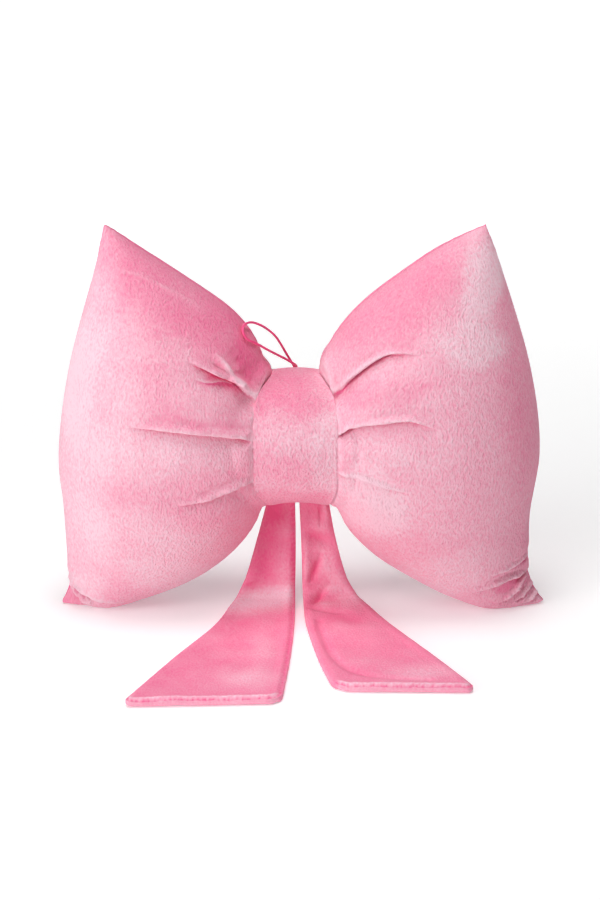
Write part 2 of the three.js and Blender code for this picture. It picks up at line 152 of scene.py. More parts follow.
def read_edges(piece):
    flat = np.empty(2 * len(piece.data.edges), int)
    piece.data.edges.foreach_get("vertices", flat)
    return flat.reshape(-1, 2)


def edit_all(piece, operator, **settings):
    """Runs an edit mode operator on the whole of a piece."""
    only(piece)
    bpy.ops.object.mode_set(mode="EDIT")
    bpy.ops.mesh.select_all(action="SELECT")
    operator(**settings)
    bpy.ops.object.mode_set(mode="OBJECT")


def copied_solid(node, name):
    """A new piece that starts as a copy of a solid, with its loose triangles merged."""
    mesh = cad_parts[node].data.copy()
    mesh.name = name
    mesh.materials.clear()
    piece = linked(name, mesh)
    only(piece)
    if mesh.has_custom_normals:
        bpy.ops.mesh.customdata_custom_splitnormals_clear()
    edit_all(piece, bpy.ops.mesh.remove_doubles, threshold=0.02 * MM)
    return piece


def remeshed(piece, voxel):
    piece.data.remesh_voxel_size = voxel * MM
    only(piece)
    bpy.ops.object.voxel_remesh()


def subdivided(piece, levels):
    only(piece)
    modifier = piece.modifiers.new("rounded", "SUBSURF")
    modifier.levels = levels
    modifier.render_levels = levels
    bpy.ops.object.modifier_apply(modifier=modifier.name)


def refined(piece, chosen):
    """Cuts the faces that touch the chosen points in four."""
    mesh = piece.data
    corners = np.empty(len(mesh.loops), int)
    mesh.loops.foreach_get("vertex_index", corners)
    starts = np.empty(len(mesh.polygons), int)
    mesh.polygons.foreach_get("loop_start", starts)
    flags = np.logical_or.reduceat(chosen[corners], starts)
    only(piece)
    bpy.ops.object.mode_set(mode="EDIT")
    bpy.ops.mesh.select_mode(type="FACE")
    bpy.ops.mesh.select_all(action="DESELECT")
    bpy.ops.object.mode_set(mode="OBJECT")
    mesh.polygons.foreach_set("select", flags)
    bpy.ops.object.mode_set(mode="EDIT")
    bpy.ops.mesh.subdivide(number_cuts=1)
    bpy.ops.object.mode_set(mode="OBJECT")


def evened(points, edges, share, passes, towards=None):
    """Moves points to the middle of their neighbours. With towards, only that way."""
    counts = np.bincount(edges.ravel(), minlength=len(points))
    for _ in range(passes):
        middle = np.stack([np.bincount(edges[:, 0], points[edges[:, 1], k], len(points))
                           + np.bincount(edges[:, 1], points[edges[:, 0], k], len(points))
                           for k in range(3)], 1) / counts[:, None]
        step = (middle - points) * share[:, None]
        if towards is not None:
            step *= (np.einsum("ij,ij->i", step, towards) > 0)[:, None]
        points = points + step
    return points


def write_pile(piece, nap_and_shading, rim, tuck_shade):
    """Gives each point its pile's tone with painted shade and light, its painted highlight near lips and
    crests, and its painted shade near tucks, and smooths.
    """
    for name, values in (("nap_and_shading", nap_and_shading), ("rim", rim), ("tuck_shade", tuck_shade)):
        layer = piece.data.attributes.new(name, "FLOAT", "POINT")
        layer.data.foreach_set("value", np.asarray(values, np.float32))
    only(piece)
    bpy.ops.object.shade_smooth()


# Gathers of the pillow beside the band, as lines over its front or back, in x and z. roll is how
# wide the lip is, depth how far the cloth tucks in under it, lip how far it stands out, hang how
# far it hangs over the tuck, and reach how wide the cloth slopes into the tuck.

FRONT = -1
BACK = 1
FOLD_COLUMNS = "name face roll depth lip hang reach line"
GATHERS = table(
    FOLD_COLUMNS,
    ("left upper", FRONT, 3, 6.8, 3.6, 1.8, 5,
     [(-31, 182), (-33.6, 186.4), (-41.5, 197), (-48.8, 204.8), (-55.8, 208.6), (-64.1, 213),
      (-71.8, 217.2), (-79.5, 221), (-90, 226)]),
    ("left pocket", FRONT, 3, 1, 0, 0, 4.5,
     [(-50, 202.5), (-56, 205.5), (-62, 207), (-68.3, 207), (-75, 208.4), (-84, 212)]),
    ("left mid", FRONT, 3.6, 6.5, 2.4, 1.6, 5,
     [(-35, 158.5), (-38.4, 159.6), (-44.2, 162.8), (-54.1, 165.8), (-65.8, 168), (-81.2, 170.4),
      (-96.7, 172.5), (-112.4, 173.7), (-128, 173.8), (-140, 173.4)]),
    ("left low", FRONT, 3.2, 6.2, 2.4, 1.4, 4.5,
     [(-31, 121.6), (-34.5, 122.3), (-43.2, 123.9), (-52.2, 121.4), (-65.2, 116.6), (-79.8, 111.8),
      (-98, 108)]),
    ("right upper", FRONT, 2.4, 6.5, 2, 1.6, 5,
     [(24, 187.5), (27.1, 191), (31.7, 198.6), (40.8, 209.1), (51, 218.5), (59.9, 225.2),
      (68.8, 229.8), (80.4, 230.7), (96, 229.5)]),
    ("right mid", FRONT, 3, 7, 2, 1.6, 5,
     [(26, 162), (30, 164.2), (40.7, 172.2), (53.3, 176), (66.4, 178.5), (79.3, 180.4), (88.1, 180.4),
      (98.7, 176.1), (112, 171.5)]),
    ("right low", FRONT, 2.2, 4.4, 1.8, 1.4, 4.5,
     [(28, 130), (33.5, 131.4), (41.2, 131.6), (51.6, 129.4), (60.8, 126.4), (69.6, 123.8), (88, 118.5)]),
    ("left back upper", BACK, 2.4, 5.5, 2, 1.4, 5,
     [(-30, 184), (-45, 201), (-60, 211), (-86, 222)]),
    ("left back mid", BACK, 2.4, 5.5, 2, 1.4, 5,
     [(-30, 151), (-50, 156.5), (-75, 159.5), (-104, 158)]),
    ("left back low", BACK, 2.2, 4.5, 1.6, 1.2, 4.5,
     [(-29, 116), (-46, 106), (-62, 95.5), (-80, 84)]),
    ("right back upper", BACK, 2.4, 5.5, 2, 1.4, 5,
     [(24, 182), (38, 200), (56, 213.5), (88, 220)]),
    ("right back mid", BACK, 2.4, 5.5, 2, 1.4, 5,
     [(26, 147), (48, 150.5), (76, 152), (108, 150)]),
    ("right back low", BACK, 2.2, 4.5, 1.6, 1.2, 4.5,
     [(25, 117), (44, 107.5), (60, 98.5), (78, 88)]),
)

# Folds across the lower corners: the cloth above rolls over each of them
CORNER_FOLDS = table(
    FOLD_COLUMNS,
    ("left ear", FRONT, 2.6, 4.5, 2.6, 2.2, 7,
     [(-191, 26), (-187, 20), (-182.5, 14), (-177.5, 8.5), (-171, 3), (-168, 0)]),
    ("left ear crease", FRONT, 2.6, 2.2, 1.2, 0.8, 2,
     [(-189, 27), (-185, 21), (-181, 16.8), (-176.6, 13.6), (-168.5, 11.2), (-156, 9.4), (-136, 7.6)]),
    ("left ear behind", BACK, 3, 3, 2, 1.6, 4,
     [(-191, 24), (-186, 19.5), (-172, 15), (-150, 10)]),
    ("right first", FRONT, 3, 1.6, 0.8, 0.5, 3,
     [(190, 46), (183.8, 44.2), (175.3, 41.8), (165.3, 40.1), (152.7, 36.2)]),
    ("right long", FRONT, 2.6, 3.8, 1.8, 1.4, 3.6,
     [(192, 35.5), (187, 33.5), (182.4, 32), (170.8, 31.2), (160.9, 28.6), (149.9, 25), (138, 20)]),
    ("right second", FRONT, 2.2, 4.2, 2, 1.2, 3.2,
     [(190, 33), (186, 29.3), (181.6, 24.8), (178, 19.4), (173.3, 14.7), (168.8, 10.7), (162, 7.5)]),
    ("right third", FRONT, 1.8, 3.6, 1.8, 0.9, 2.6,
     [(193, 23), (190, 19.6), (186.5, 16.4), (183.4, 13), (180.5, 9.8), (176, 6.3)]),
    ("right fourth", FRONT, 1.6, 2.8, 1.5, 0.7, 2.2,
     [(196, 14.5), (193.6, 12), (190.8, 8.4), (187.8, 4.8), (185, 2.2)]),
    ("right behind", BACK, 2.4, 2.8, 1.4, 1, 3.6,
     [(190, 38), (179, 29), (165, 23), (150, 20)]),
)

# Soft ridges and troughs with no tuck: lift is how far each stands out, wide its half-width, and
# the next column how much painted highlight lies along it (below 0, painted shade)
SOFT_LINES = table(
    "name face lift wide rim line",
    ("left upper crest", FRONT, 3, 1.6, 1.6,
     [(-33, 183), (-35.8, 187.6), (-39.6, 194.6), (-44.3, 202.4), (-48.3, 206.8), (-52.7, 212.3),
      (-57.3, 218.7), (-61.1, 224), (-66, 230)]),
    ("left upper trough", FRONT, -1.7, 2.4, 0,
     [(-47, 203), (-51.2, 207.1), (-56.5, 211.3), (-61.8, 216.3), (-66.7, 222.2), (-73, 228)]),
    ("left under crest", FRONT, -1.6, 5, -0.15,
     [(-36, 203), (-42, 210), (-48, 219), (-54, 230)]),
    ("left shoulder line", FRONT, 0.7, 1.3, 0.4,
     [(-150, 296), (-144.5, 293.8), (-123.9, 286.7), (-104.6, 277.4), (-83.7, 265), (-74, 258)]),
    ("right shoulder line", FRONT, 0.4, 1.2, 0.1,
     [(51.8, 251), (51.2, 247.8), (48.7, 233.9), (48, 229)]),
    ("left mid puff", FRONT, 1.6, 9, 0,
     [(-40, 148), (-60, 150), (-85, 151), (-110, 151)]),
    ("left upper puff", FRONT, 1.2, 7, 0,
     [(-40, 181), (-60, 190), (-78, 195), (-100, 199)]),
    ("left low puff", FRONT, 1, 8, 0,
     [(-38, 106), (-52, 104), (-68, 98), (-86, 92)]),
    ("right upper puff", FRONT, 1.4, 8, 0,
     [(32, 182), (48, 194), (66, 203), (88, 208)]),
    ("right mid puff", FRONT, 1.6, 9, 0,
     [(32, 150), (50, 154), (72, 156), (98, 155)]),
    ("right low puff", FRONT, 1, 8, 0,
     [(30, 112), (46, 109), (64, 104), (84, 98)]),
)
FINE_LINE = 6

# How wide a strip beside a gather or corner fold its cloth moves in
FOLD_MARGIN = 18


def beside_line(places, line):
    """For places in the plan of a line: height above it, share along it, distance past its end."""
    nearest = np.full(len(places), np.inf)
    above = np.zeros(len(places))
    along = np.zeros(len(places))
    count = len(line) - 1
    for i in range(count):
        start, step = line[i], line[i + 1] - line[i]
        length = np.linalg.norm(step)
        share = np.clip((places - start) @ step / length**2, 0, 1)
        gap = places - start - share[:, None] * step
        distance = np.linalg.norm(gap, axis=1)
        closer = distance < nearest
        up = np.array([-step[1], step[0]]) / length
        if up[1] < 0:
            up = -up
        nearest = np.where(closer, distance, nearest)
        above = np.where(closer, gap @ up, above)
        along = np.where(closer, (i + share) / count, along)
    return above, along, np.sqrt(np.maximum(nearest**2 - above**2, 0))


def beside_fold(points, fold, margin):
    """The points near a fold, where they are beside it, and its line."""
    line = smooth_line(fold["line"], 32)
    plan = points[:, [0, 2]]
    near = np.flatnonzero((plan > line.min(0) - margin).all(1) & (plan < line.max(0) + margin).all(1)
                          & (points[:, 1] * fold["face"] > 0))
    above, along, past = beside_line(plan[near], line)
    here = np.hypot(above, past) < margin
    return near[here], above[here], along[here], past[here], line


def lay_soft_lines(points, normals):
    """Moves points along soft ridges and troughs, and returns their painted highlight as well, painted
    shade where it is below 0.
    """
    push = np.zeros(len(points))
    rim = np.zeros(len(points))
    for number, row in enumerate(SOFT_LINES):
        near, above, along, past, _ = beside_fold(points, row, 3 * row["wide"])
        share = np.clip(np.sin(np.pi * along), 0, 1) ** 0.6 * bell(past, row["wide"])
        share *= (1 + 0.2 * np.sin(19 * along + number)) * bell(above, row["wide"])
        push[near] += row["lift"] * share
        rim[near] += row["rim"] * share
    return points + normals * push[:, None], rim


def lay_folds(points, normals, folds, start_share):
    """Moves points so that the cloth above each line rolls over a tucked fold beneath it. Returns the
    new points, a painted highlight near each lip's edge and painted shade near each tucked hollow."""
    push = np.zeros(len(points))
    slide = np.zeros((len(points), 3))
    rim = np.zeros(len(points))
    tuck_shade = np.zeros(len(points))
    for number, fold in enumerate(folds):
        near, above, along, past, line = beside_fold(points, fold, FOLD_MARGIN)
        wander = 1 + 0.22 * np.sin(23 * along + 2 * number) + 0.12 * np.sin(61 * along + number)
        share = (1 - ramp(along, 0.55, 1)) ** 0.8 * ramp(along, 0, start_share) * bell(past, 1.5)
        wide = fold["roll"]
        roll = np.where(above > 0, ramp(above, 0, 0.8) * bell(above - 0.6 * wide, 0.7 * wide), 0)
        valley = np.where(above > 0, bell(above - 1.9 * wide, 0.6 * wide), 0)
        under = np.where(above < 0, np.exp(-np.abs(above) / fold["reach"]), 1 - ramp(above, 0, 0.9))
        lift = fold["lip"] * wander * (roll - 0.45 * valley)
        push[near] += share * (lift - fold["depth"] * under)
        tangent = np.gradient(line, axis=0)[np.round(along * (len(line) - 1)).astype(int)]
        up = np.stack([-tangent[:, 1], np.zeros(len(near)), tangent[:, 0]], 1)
        up *= (np.where(up[:, 2] < 0, -1, 1) / np.linalg.norm(up, axis=1))[:, None]
        hang = share * fold["hang"] * ramp(above, 0, 0.8) * bell(above - 0.8, 0.8 * wide)
        slide[near] -= up * hang[:, None]
        # A painted highlight on each lip's edge, and painted shade in the hollow beneath it
        rim[near] = np.maximum(rim[near], share * ramp(above, 0, 0.5) * bell(above - 1.2, 1.5))
        tuck_shade[near] = np.maximum(tuck_shade[near], share * np.where(above < 0.4, bell(above - 0.4, 2.0), 0))
    return points + normals * push[:, None] + slide, rim, tuck_shade


# Places beside the band, which is wrapped round the knot's middle line

def around_knot(points):
    """The angle round the knot in degrees: 0 in front, 90 above it."""
    return np.degrees(np.arctan2(points[:, 2] - KNOT_Z, -points[:, 1]))


def knot_radius(points):
    return np.hypot(points[:, 1], points[:, 2] - KNOT_Z)


def from_knot(points):
    """Directions straight out from the line through the knot and both lobes."""
    out = points * [0, 1, 0] + [0, 0, 1] * (points[:, 2:] - KNOT_Z)
    return out / np.maximum(np.linalg.norm(out, axis=1, keepdims=True), 1e-6)


ring = read_points(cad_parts["knot_band"])
RING_STEPS = np.arange(-180, 181, 7.5)
at_step = [np.abs((around_knot(ring) - step + 180) % 360 - 180) < 6 for step in RING_STEPS]
ring_left = np.array([ring[near, 0].min() for near in at_step])
ring_right = np.array([ring[near, 0].max() for near in at_step])
ring_out = np.array([knot_radius(ring[near]).max() for near in at_step])


def drawn_in(points):
    """How far the band's two edges are drawn in where it turns under at its foot."""
    angle = around_knot(points)
    share = ramp(-angle, 36, 62) * (1 - ramp(-angle, 96, 130))
    return 4.4 * share, 2.2 * share


def beside_band(points):
    """Distance out from the band's edge, and the radius of the band's face, at each point."""
    angle = around_knot(points)
    in_left, in_right = drawn_in(points)
    left = np.interp(angle, RING_STEPS, ring_left) + in_left
    right = np.interp(angle, RING_STEPS, ring_right) - in_right
    out = np.maximum(left - points[:, 0], points[:, 0] - right)
    return out, np.interp(angle, RING_STEPS, ring_out)


# Patches of tone, partly where the pile has been stroked and partly painted shade and light:
# deeper where the lobes face away from the lamps, as on the left lobe beside the knot and at its top
# edge, in the left ear's fold and on the band's top and foot, and paler on the lobes' lit outer left
# side and along the band's right edge. Each has a place, half-sizes along and across, the turn of the
# long side in degrees, and how much paler (or, below 0, deeper) it is painted there

TONE_COLUMNS = "x z along across turn tone"
LOBE_TONES_AND_SHADING = table(
    TONE_COLUMNS,
    (-90, 281, 78, 36, -30, -0.27),
    (-52, 232, 44, 26, -50, -0.2),
    (-34, 210, 30, 10, -58, -0.26),
    (-172, 250, 24, 70, -14, 0.16),
    (-62, 207, 16, 6, -20, -0.26),
    (-128, 236, 34, 12, -8, 0.04),
    (-76, 197, 24, 10, -10, 0.06),
    (-78, 177, 44, 5, -2, -0.12),
    (-88, 150, 45, 16, 0, 0.12),
    (-92, 50, 100, 36, -30, 0.31),
    (172, 25, 14, 5, 28, -0.25),
    (-190, 6, 11, 12, -50, -0.42),
    (-188, 95, 36, 110, 0, 0.22),
    (-160, 190, 40, 62, 0, 0.22),
    (-122, 150, 44, 26, 0, 0.14),
    (-80, 34, 26, 12, -30, 0.14),
    (-140, 68, 22, 14, 0, -0.1),
    (-50, 78, 16, 12, 0, 0.09),
    (-170, 26, 18, 12, 0, 0.1),
    (-176, 200, 14, 40, 0, 0.1),
    (-70, 252, 20, 14, -40, 0.1),
    (52, 136, 18, 10, 0, 0.1),
    (54, 106, 34, 30, 0, 0.4),
    (118, 42, 62, 22, 12, 0.22),
    (90, 190, 60, 60, 0, 0.08),
    (176, 42, 30, 34, 0, -0.16),
    (72, 268, 62, 30, 35, -0.2),
    (38, 232, 30, 20, 60, 0.02),
    (142, 283, 19, 30, -15, 0.4),
    (139, 306, 10, 20, 0, 0.12),
    (134, 238, 27, 17, -10, 0.32),
    (66, 200, 42, 11, 8, -0.16),
    (96, 196, 20, 8, 0, 0.08),
    (58, 152, 34, 14, 0, 0.14),
    (70, 78, 74, 30, 32, 0.1),
    (184, 180, 26, 90, 5, -0.14),
    (120, 120, 60, 60, 0, 0.06),
)
BAND_TONES_AND_SHADING = table(
    TONE_COLUMNS,
    (-8, 194, 60, 15, -4, -0.3),
    (-8, 160, 26, 12, -8, 0.1),
    (-10, 136, 40, 10, -6, -0.12),
    (12, 126, 26, 12, 15, 0.08),
    (24, 164, 15, 56, 0, 0.2),
    (-6, 104, 60, 9, 0, -0.12),
)
LOBE_PLAIN = 0.54
BAND_PLAIN = 0.62


def pile_tone_and_shading(points, tones, plain):
    """The tone of the pile at each point, from 0, deep, to 1, pale, with the tables' painted shade and
    light.
    """
    wander = np.stack([ripple(points, 22, 1), ripple(points, 22, 2)], 1) * 7
    wander += np.stack([ripple(points, 7, 4), ripple(points, 7, 5)], 1) * 2.5
    places = points[:, [0, 2]] + wander
    tone = np.full(len(points), plain) + 0.05 * ripple(points, 34, 6)
    in_front = 1 - 0.6 * ramp(points[:, 1], -6, 12)
    for row in tones:
        turn = math.radians(row["turn"])
        off = places - [row["x"], row["z"]]
        along = (off[:, 0] * math.cos(turn) + off[:, 1] * math.sin(turn)) / row["along"]
        across = (off[:, 1] * math.cos(turn) - off[:, 0] * math.sin(turn)) / row["across"]
        tone += row["tone"] * (1 - ramp(np.hypot(along, across), 0.55, 1.35)) * in_front
    return tone


# The pillow: a stuffed body, swelled as cloth around its filling

VOXEL = 4.4
SEAM_CORNERS = [(-153, 323.5), (146, 325), (-200.5, 1.5), (202, 2.5)]
CORNER_HALF_THICK = 2.2
LOBE_MIDDLE_X = 95
LOBE_MIDDLE_Z = 150
RIGHT_EAR_OUT = 3.4
SEAM_DEEP = 1.1

START_SMALLER = 1.2
SWELL_PRESSURE = 4.0
SWELL_CAP = 6.0
SWELL_STEPS = 20

# The cheeks are the pillow's swell beside the band: how high they rise and how far out, how far
# below the band's face they start, and how hard they press against the band's edge
CHEEK_RISE = 6.0
CHEEK_REACH = 6.5
CHEEK_BELOW_BAND = 2.8
CHEEK_PRESS = 2.1
UPPER_CHEEK_PRESS = 2.8


def corner_reach(points):
    """Distance to the nearest of the seam's four corners."""
    return np.min([np.hypot(points[:, 0] - x, points[:, 2] - z) for x, z in SEAM_CORNERS], 0)


def towards_middle(points, step):
    """Moves points along x towards the band's middle."""
    points[:, 0] -= np.sign(points[:, 0] - BAND_MIDDLE_X) * step


def swell(piece, kept):
    """Runs the cloth round its filling, and keeps the points where kept is 1."""
    before = read_points(piece)
    start = before - read_normals(piece) * (START_SMALLER * (1 - kept))[:, None]
    write_points(piece, start)
    group = piece.vertex_groups.new(name="kept")
    for index in np.flatnonzero(kept > 0.05):
        group.add([int(index)], float(kept[index]), "REPLACE")
    only(piece)
    cloth = piece.modifiers.new("cloth", "CLOTH")
    cloth.settings.quality = 4
    cloth.settings.mass = 0.3
    cloth.settings.tension_stiffness = 8
    cloth.settings.compression_stiffness = 8
    cloth.settings.shear_stiffness = 4
    cloth.settings.bending_stiffness = 0.3
    cloth.settings.use_pressure = True
    cloth.settings.uniform_pressure_force = SWELL_PRESSURE
    cloth.settings.vertex_group_mass = "kept"
    cloth.settings.effector_weights.gravity = 0
    for step in range(1, SWELL_STEPS + 1):
        bpy.context.scene.frame_set(step)
    bpy.ops.object.modifier_apply(modifier="cloth")
    bpy.context.scene.frame_set(1)
    piece.vertex_groups.clear()
    moved = read_points(piece) - start
    length = np.linalg.norm(moved, axis=1, keepdims=True)
    moved *= np.minimum(1, SWELL_CAP / np.maximum(length, 1e-9))
    after = (start + moved) * (1 - kept[:, None]) + before * kept[:, None]
    after[:, 2] = np.maximum(after[:, 2], 0)
    write_points(piece, after)


pillow = copied_solid("cushion", "pillow")

# The corners are made thick enough for the remesh to keep them
points = read_points(pillow)
at_corner = 1 - ramp(corner_reach(points), 24, 44)
short = np.maximum(0, CORNER_HALF_THICK - np.abs(points[:, 1]))
points[:, 1] += at_corner * np.sign(np.round(points[:, 1], 2)) * short
write_points(pillow, points)
remeshed(pillow, VOXEL)

# The solid's own gathers are evened, to be laid again finer, and the corners are drawn out to
# the points that the remesh has blunted
points = read_points(pillow)
out, band_radius = beside_band(points)
beside = ramp(out, 1, 7) * (1 - ramp(out, 70, 120))
points = evened(points, read_edges(pillow), 0.5 * beside, 90, from_knot(points))
for x, z in SEAM_CORNERS:
    inward = unit(np.array([np.sign(x) * LOBE_MIDDLE_X - x, LOBE_MIDDLE_Z - z]))
    inside = (points[:, [0, 2]] - [x, z]) @ inward
    around = np.hypot(points[:, 0] - x, points[:, 2] - z) < 40
    short = inside[around].min()
    points[around] -= (short * (1 - ramp(inside[around], 0, 30)))[:, None] * [inward[0], 0, inward[1]]
write_points(pillow, points)

# It swells, but not at its seam, at its corners and under the band
kept = np.maximum(1 - ramp(np.abs(points[:, 1]), 6, 26), 1 - ramp(corner_reach(points), 20, 60))
kept = np.maximum(kept, 1 - ramp(out, 0, 10))
swell(pillow, kept)

# Finer faces at the seam, at the band's edge and along the folds
subdivided(pillow, 1)
points = read_points(pillow)
close = (np.abs(points[:, 1]) < 3) | (np.abs(beside_band(points)[0] - 1) < 3)
for fold in GATHERS + CORNER_FOLDS:
    close[beside_fold(points, fold, 5)[0]] = True
refined(pillow, close)
points = read_points(pillow)
close = np.zeros(len(points), bool)
for fold in GATHERS + CORNER_FOLDS:
    near, above = beside_fold(points, fold, 3.2)[:2]
    close[near[above > -1]] = True
for row in SOFT_LINES:
    if row["wide"] < FINE_LINE:
        close[beside_fold(points, row, row["wide"])[0]] = True
refined(pillow, close)

# The cheeks swell up beside the band and press against its edge, on a slope at its upper corners
points = read_points(pillow)
out, band_radius = beside_band(points)
away = from_knot(points)
radius = knot_radius(points)
full = band_radius - CHEEK_BELOW_BAND + CHEEK_RISE * (1 - np.exp(-np.maximum(out, 0) / CHEEK_REACH))
full -= 12 * ramp(out, 8, 34)
level = ramp(np.abs(away[:, 1]), 0.2, 0.6) * (1 - ramp(out, 24, 36))
level = np.maximum(level, ramp(np.abs(away[:, 1]), 0.02, 0.3) * (1 - ramp(out, 4, 9)))
swelled = 0.5 * (radius + full + np.hypot(radius - full, 1.5)) - radius
sloped = ramp(away[:, 2], 0.4, 0.65)
points += away * (swelled * level * ramp(out + 2.2 * sloped, -0.2, 0.9 + 3.6 * sloped))[:, None]
towards_middle(points, CHEEK_PRESS * level * ramp(out, -0.4, 0.6) * (1 - ramp(out, 1.5, 7)))
write_points(pillow, points)

# Soft lines, gathers and corner folds, laid out from the knot beside the band
normals = read_normals(pillow)
beside = (1 - ramp(out, 4, 12))[:, None]
normals = normals * (1 - beside) + away * beside
points, soft_line_highlight = lay_soft_lines(points, normals)
points, gather_highlight, gather_shade = lay_folds(points, normals, GATHERS, 0.1)
points, corner_highlight, corner_shade = lay_folds(points, normals, CORNER_FOLDS, 0.2)

# No gather's lip stands over the band, and the upper cheeks close on its edge
out, band_radius = beside_band(points)
away = from_knot(points)
high = np.maximum(knot_radius(points) - (band_radius - 2.5 + np.maximum(out, 0)), 0)
lowered = (1 - ramp(out, 1.5, 6)) * ramp(out, -6, -3) * (1 - ramp(away[:, 2], 0.75, 0.92))
points -= away * (high * lowered)[:, None]
upper = ramp(away[:, 2], 0.4, 0.65)
towards_middle(points, UPPER_CHEEK_PRESS * upper * ramp(out, -1.5, 0.5) * (1 - ramp(out, 1.5, 6)))

# The seam is drawn in, and the tips, the slope to the band and the lower seam are evened
seam = bell(points[:, 1], 1.3) * ramp(out, 0, 4)
points -= normals * (SEAM_DEEP * seam)[:, None]
edges = read_edges(pillow)
tip = 1 - ramp(corner_reach(points), 3, 8)
points = evened(points, edges, 0.5 * tip, 8)
flowing = upper * ramp(out, -6, -3) * (1 - ramp(out, 2.5, 6))
points = evened(points, edges, 0.5 * flowing, 14)
ragged = (1 - ramp(np.abs(points[:, 1]), 1.5, 5)) * (1 - ramp(corner_reach(points), 35, 60))
points = evened(points, edges, 0.5 * ragged, 10)
ear_x, ear_z = SEAM_CORNERS[3]
points[:, 0] += RIGHT_EAR_OUT * (1 - ramp(np.hypot(points[:, 0] - ear_x, points[:, 2] - ear_z), 4, 34))
points[:, 2] = np.maximum(points[:, 2], 0)
write_points(pillow, points)
# Painted light on the cheeks along the band's edge, most at its upper corners, to lighten the shade in the
# crevice there
band_crevice_light = (0.4 + 0.7 * ramp(away[:, 2], 0.4, 0.7)) * bell(out, 1.8) * level
# The pile's tone with its painted shade and light, painted highlights on lips, crests and by the band, and
# painted shade in the tucks and in the drawn-in seam
write_pile(pillow, pile_tone_and_shading(points, LOBE_TONES_AND_SHADING, LOBE_PLAIN),
           np.maximum(gather_highlight, corner_highlight) + soft_line_highlight + band_crevice_light,
           np.maximum(np.maximum(gather_shade, corner_shade), seam))

# The band: its edges lie up against the lobes, highest at the upper corners in front

BAND_CLOTH_INSIDE = -4.2
BAND_CLOTH_OUTSIDE = -2.2
EDGE_LIFT = 1.7
UPPER_EDGE_LIFT = 4.2
TOP_EDGE_LIFT = 2.0

band = copied_solid("knot_band", "knot_wrap")
edit_all(band, bpy.ops.mesh.tris_convert_to_quads)
subdivided(band, 2)
points = read_points(band)
in_left, in_right = drawn_in(points)
across = (points[:, 0] - BAND_MIDDLE_X) / BAND_HALF_WIDTH
points[:, 0] += in_left * ramp(-across, 0, 1) - in_right * ramp(across, 0, 1)
out, band_radius = beside_band(points)
away = from_knot(points)
outer_layer = ramp(knot_radius(points) - band_radius, BAND_CLOTH_INSIDE, BAND_CLOTH_OUTSIDE)
lift = EDGE_LIFT * bell(out, 2.4) * ramp(np.abs(away[:, 1]), 0.2, 0.6)
upper_lift = UPPER_EDGE_LIFT + (TOP_EDGE_LIFT - UPPER_EDGE_LIFT) * ramp(away[:, 1], -0.35, 0.05)
lift += upper_lift * bell(out, 3.0) * ramp(away[:, 2], 0.55, 0.8)
points += away * (lift * outer_layer)[:, None]
write_points(band, points)
# A painted highlight along the band's right edge, and painted light along its upper left edge against the
# shade in the crevice there
rim = bell(out, 1.4) * outer_layer * np.where(points[:, 0] > 0, 0.6, 0.7 * ramp(away[:, 2], 0.4, 0.7))
write_pile(band, pile_tone_and_shading(points, BAND_TONES_AND_SHADING, BAND_PLAIN), rim, 0 * out)
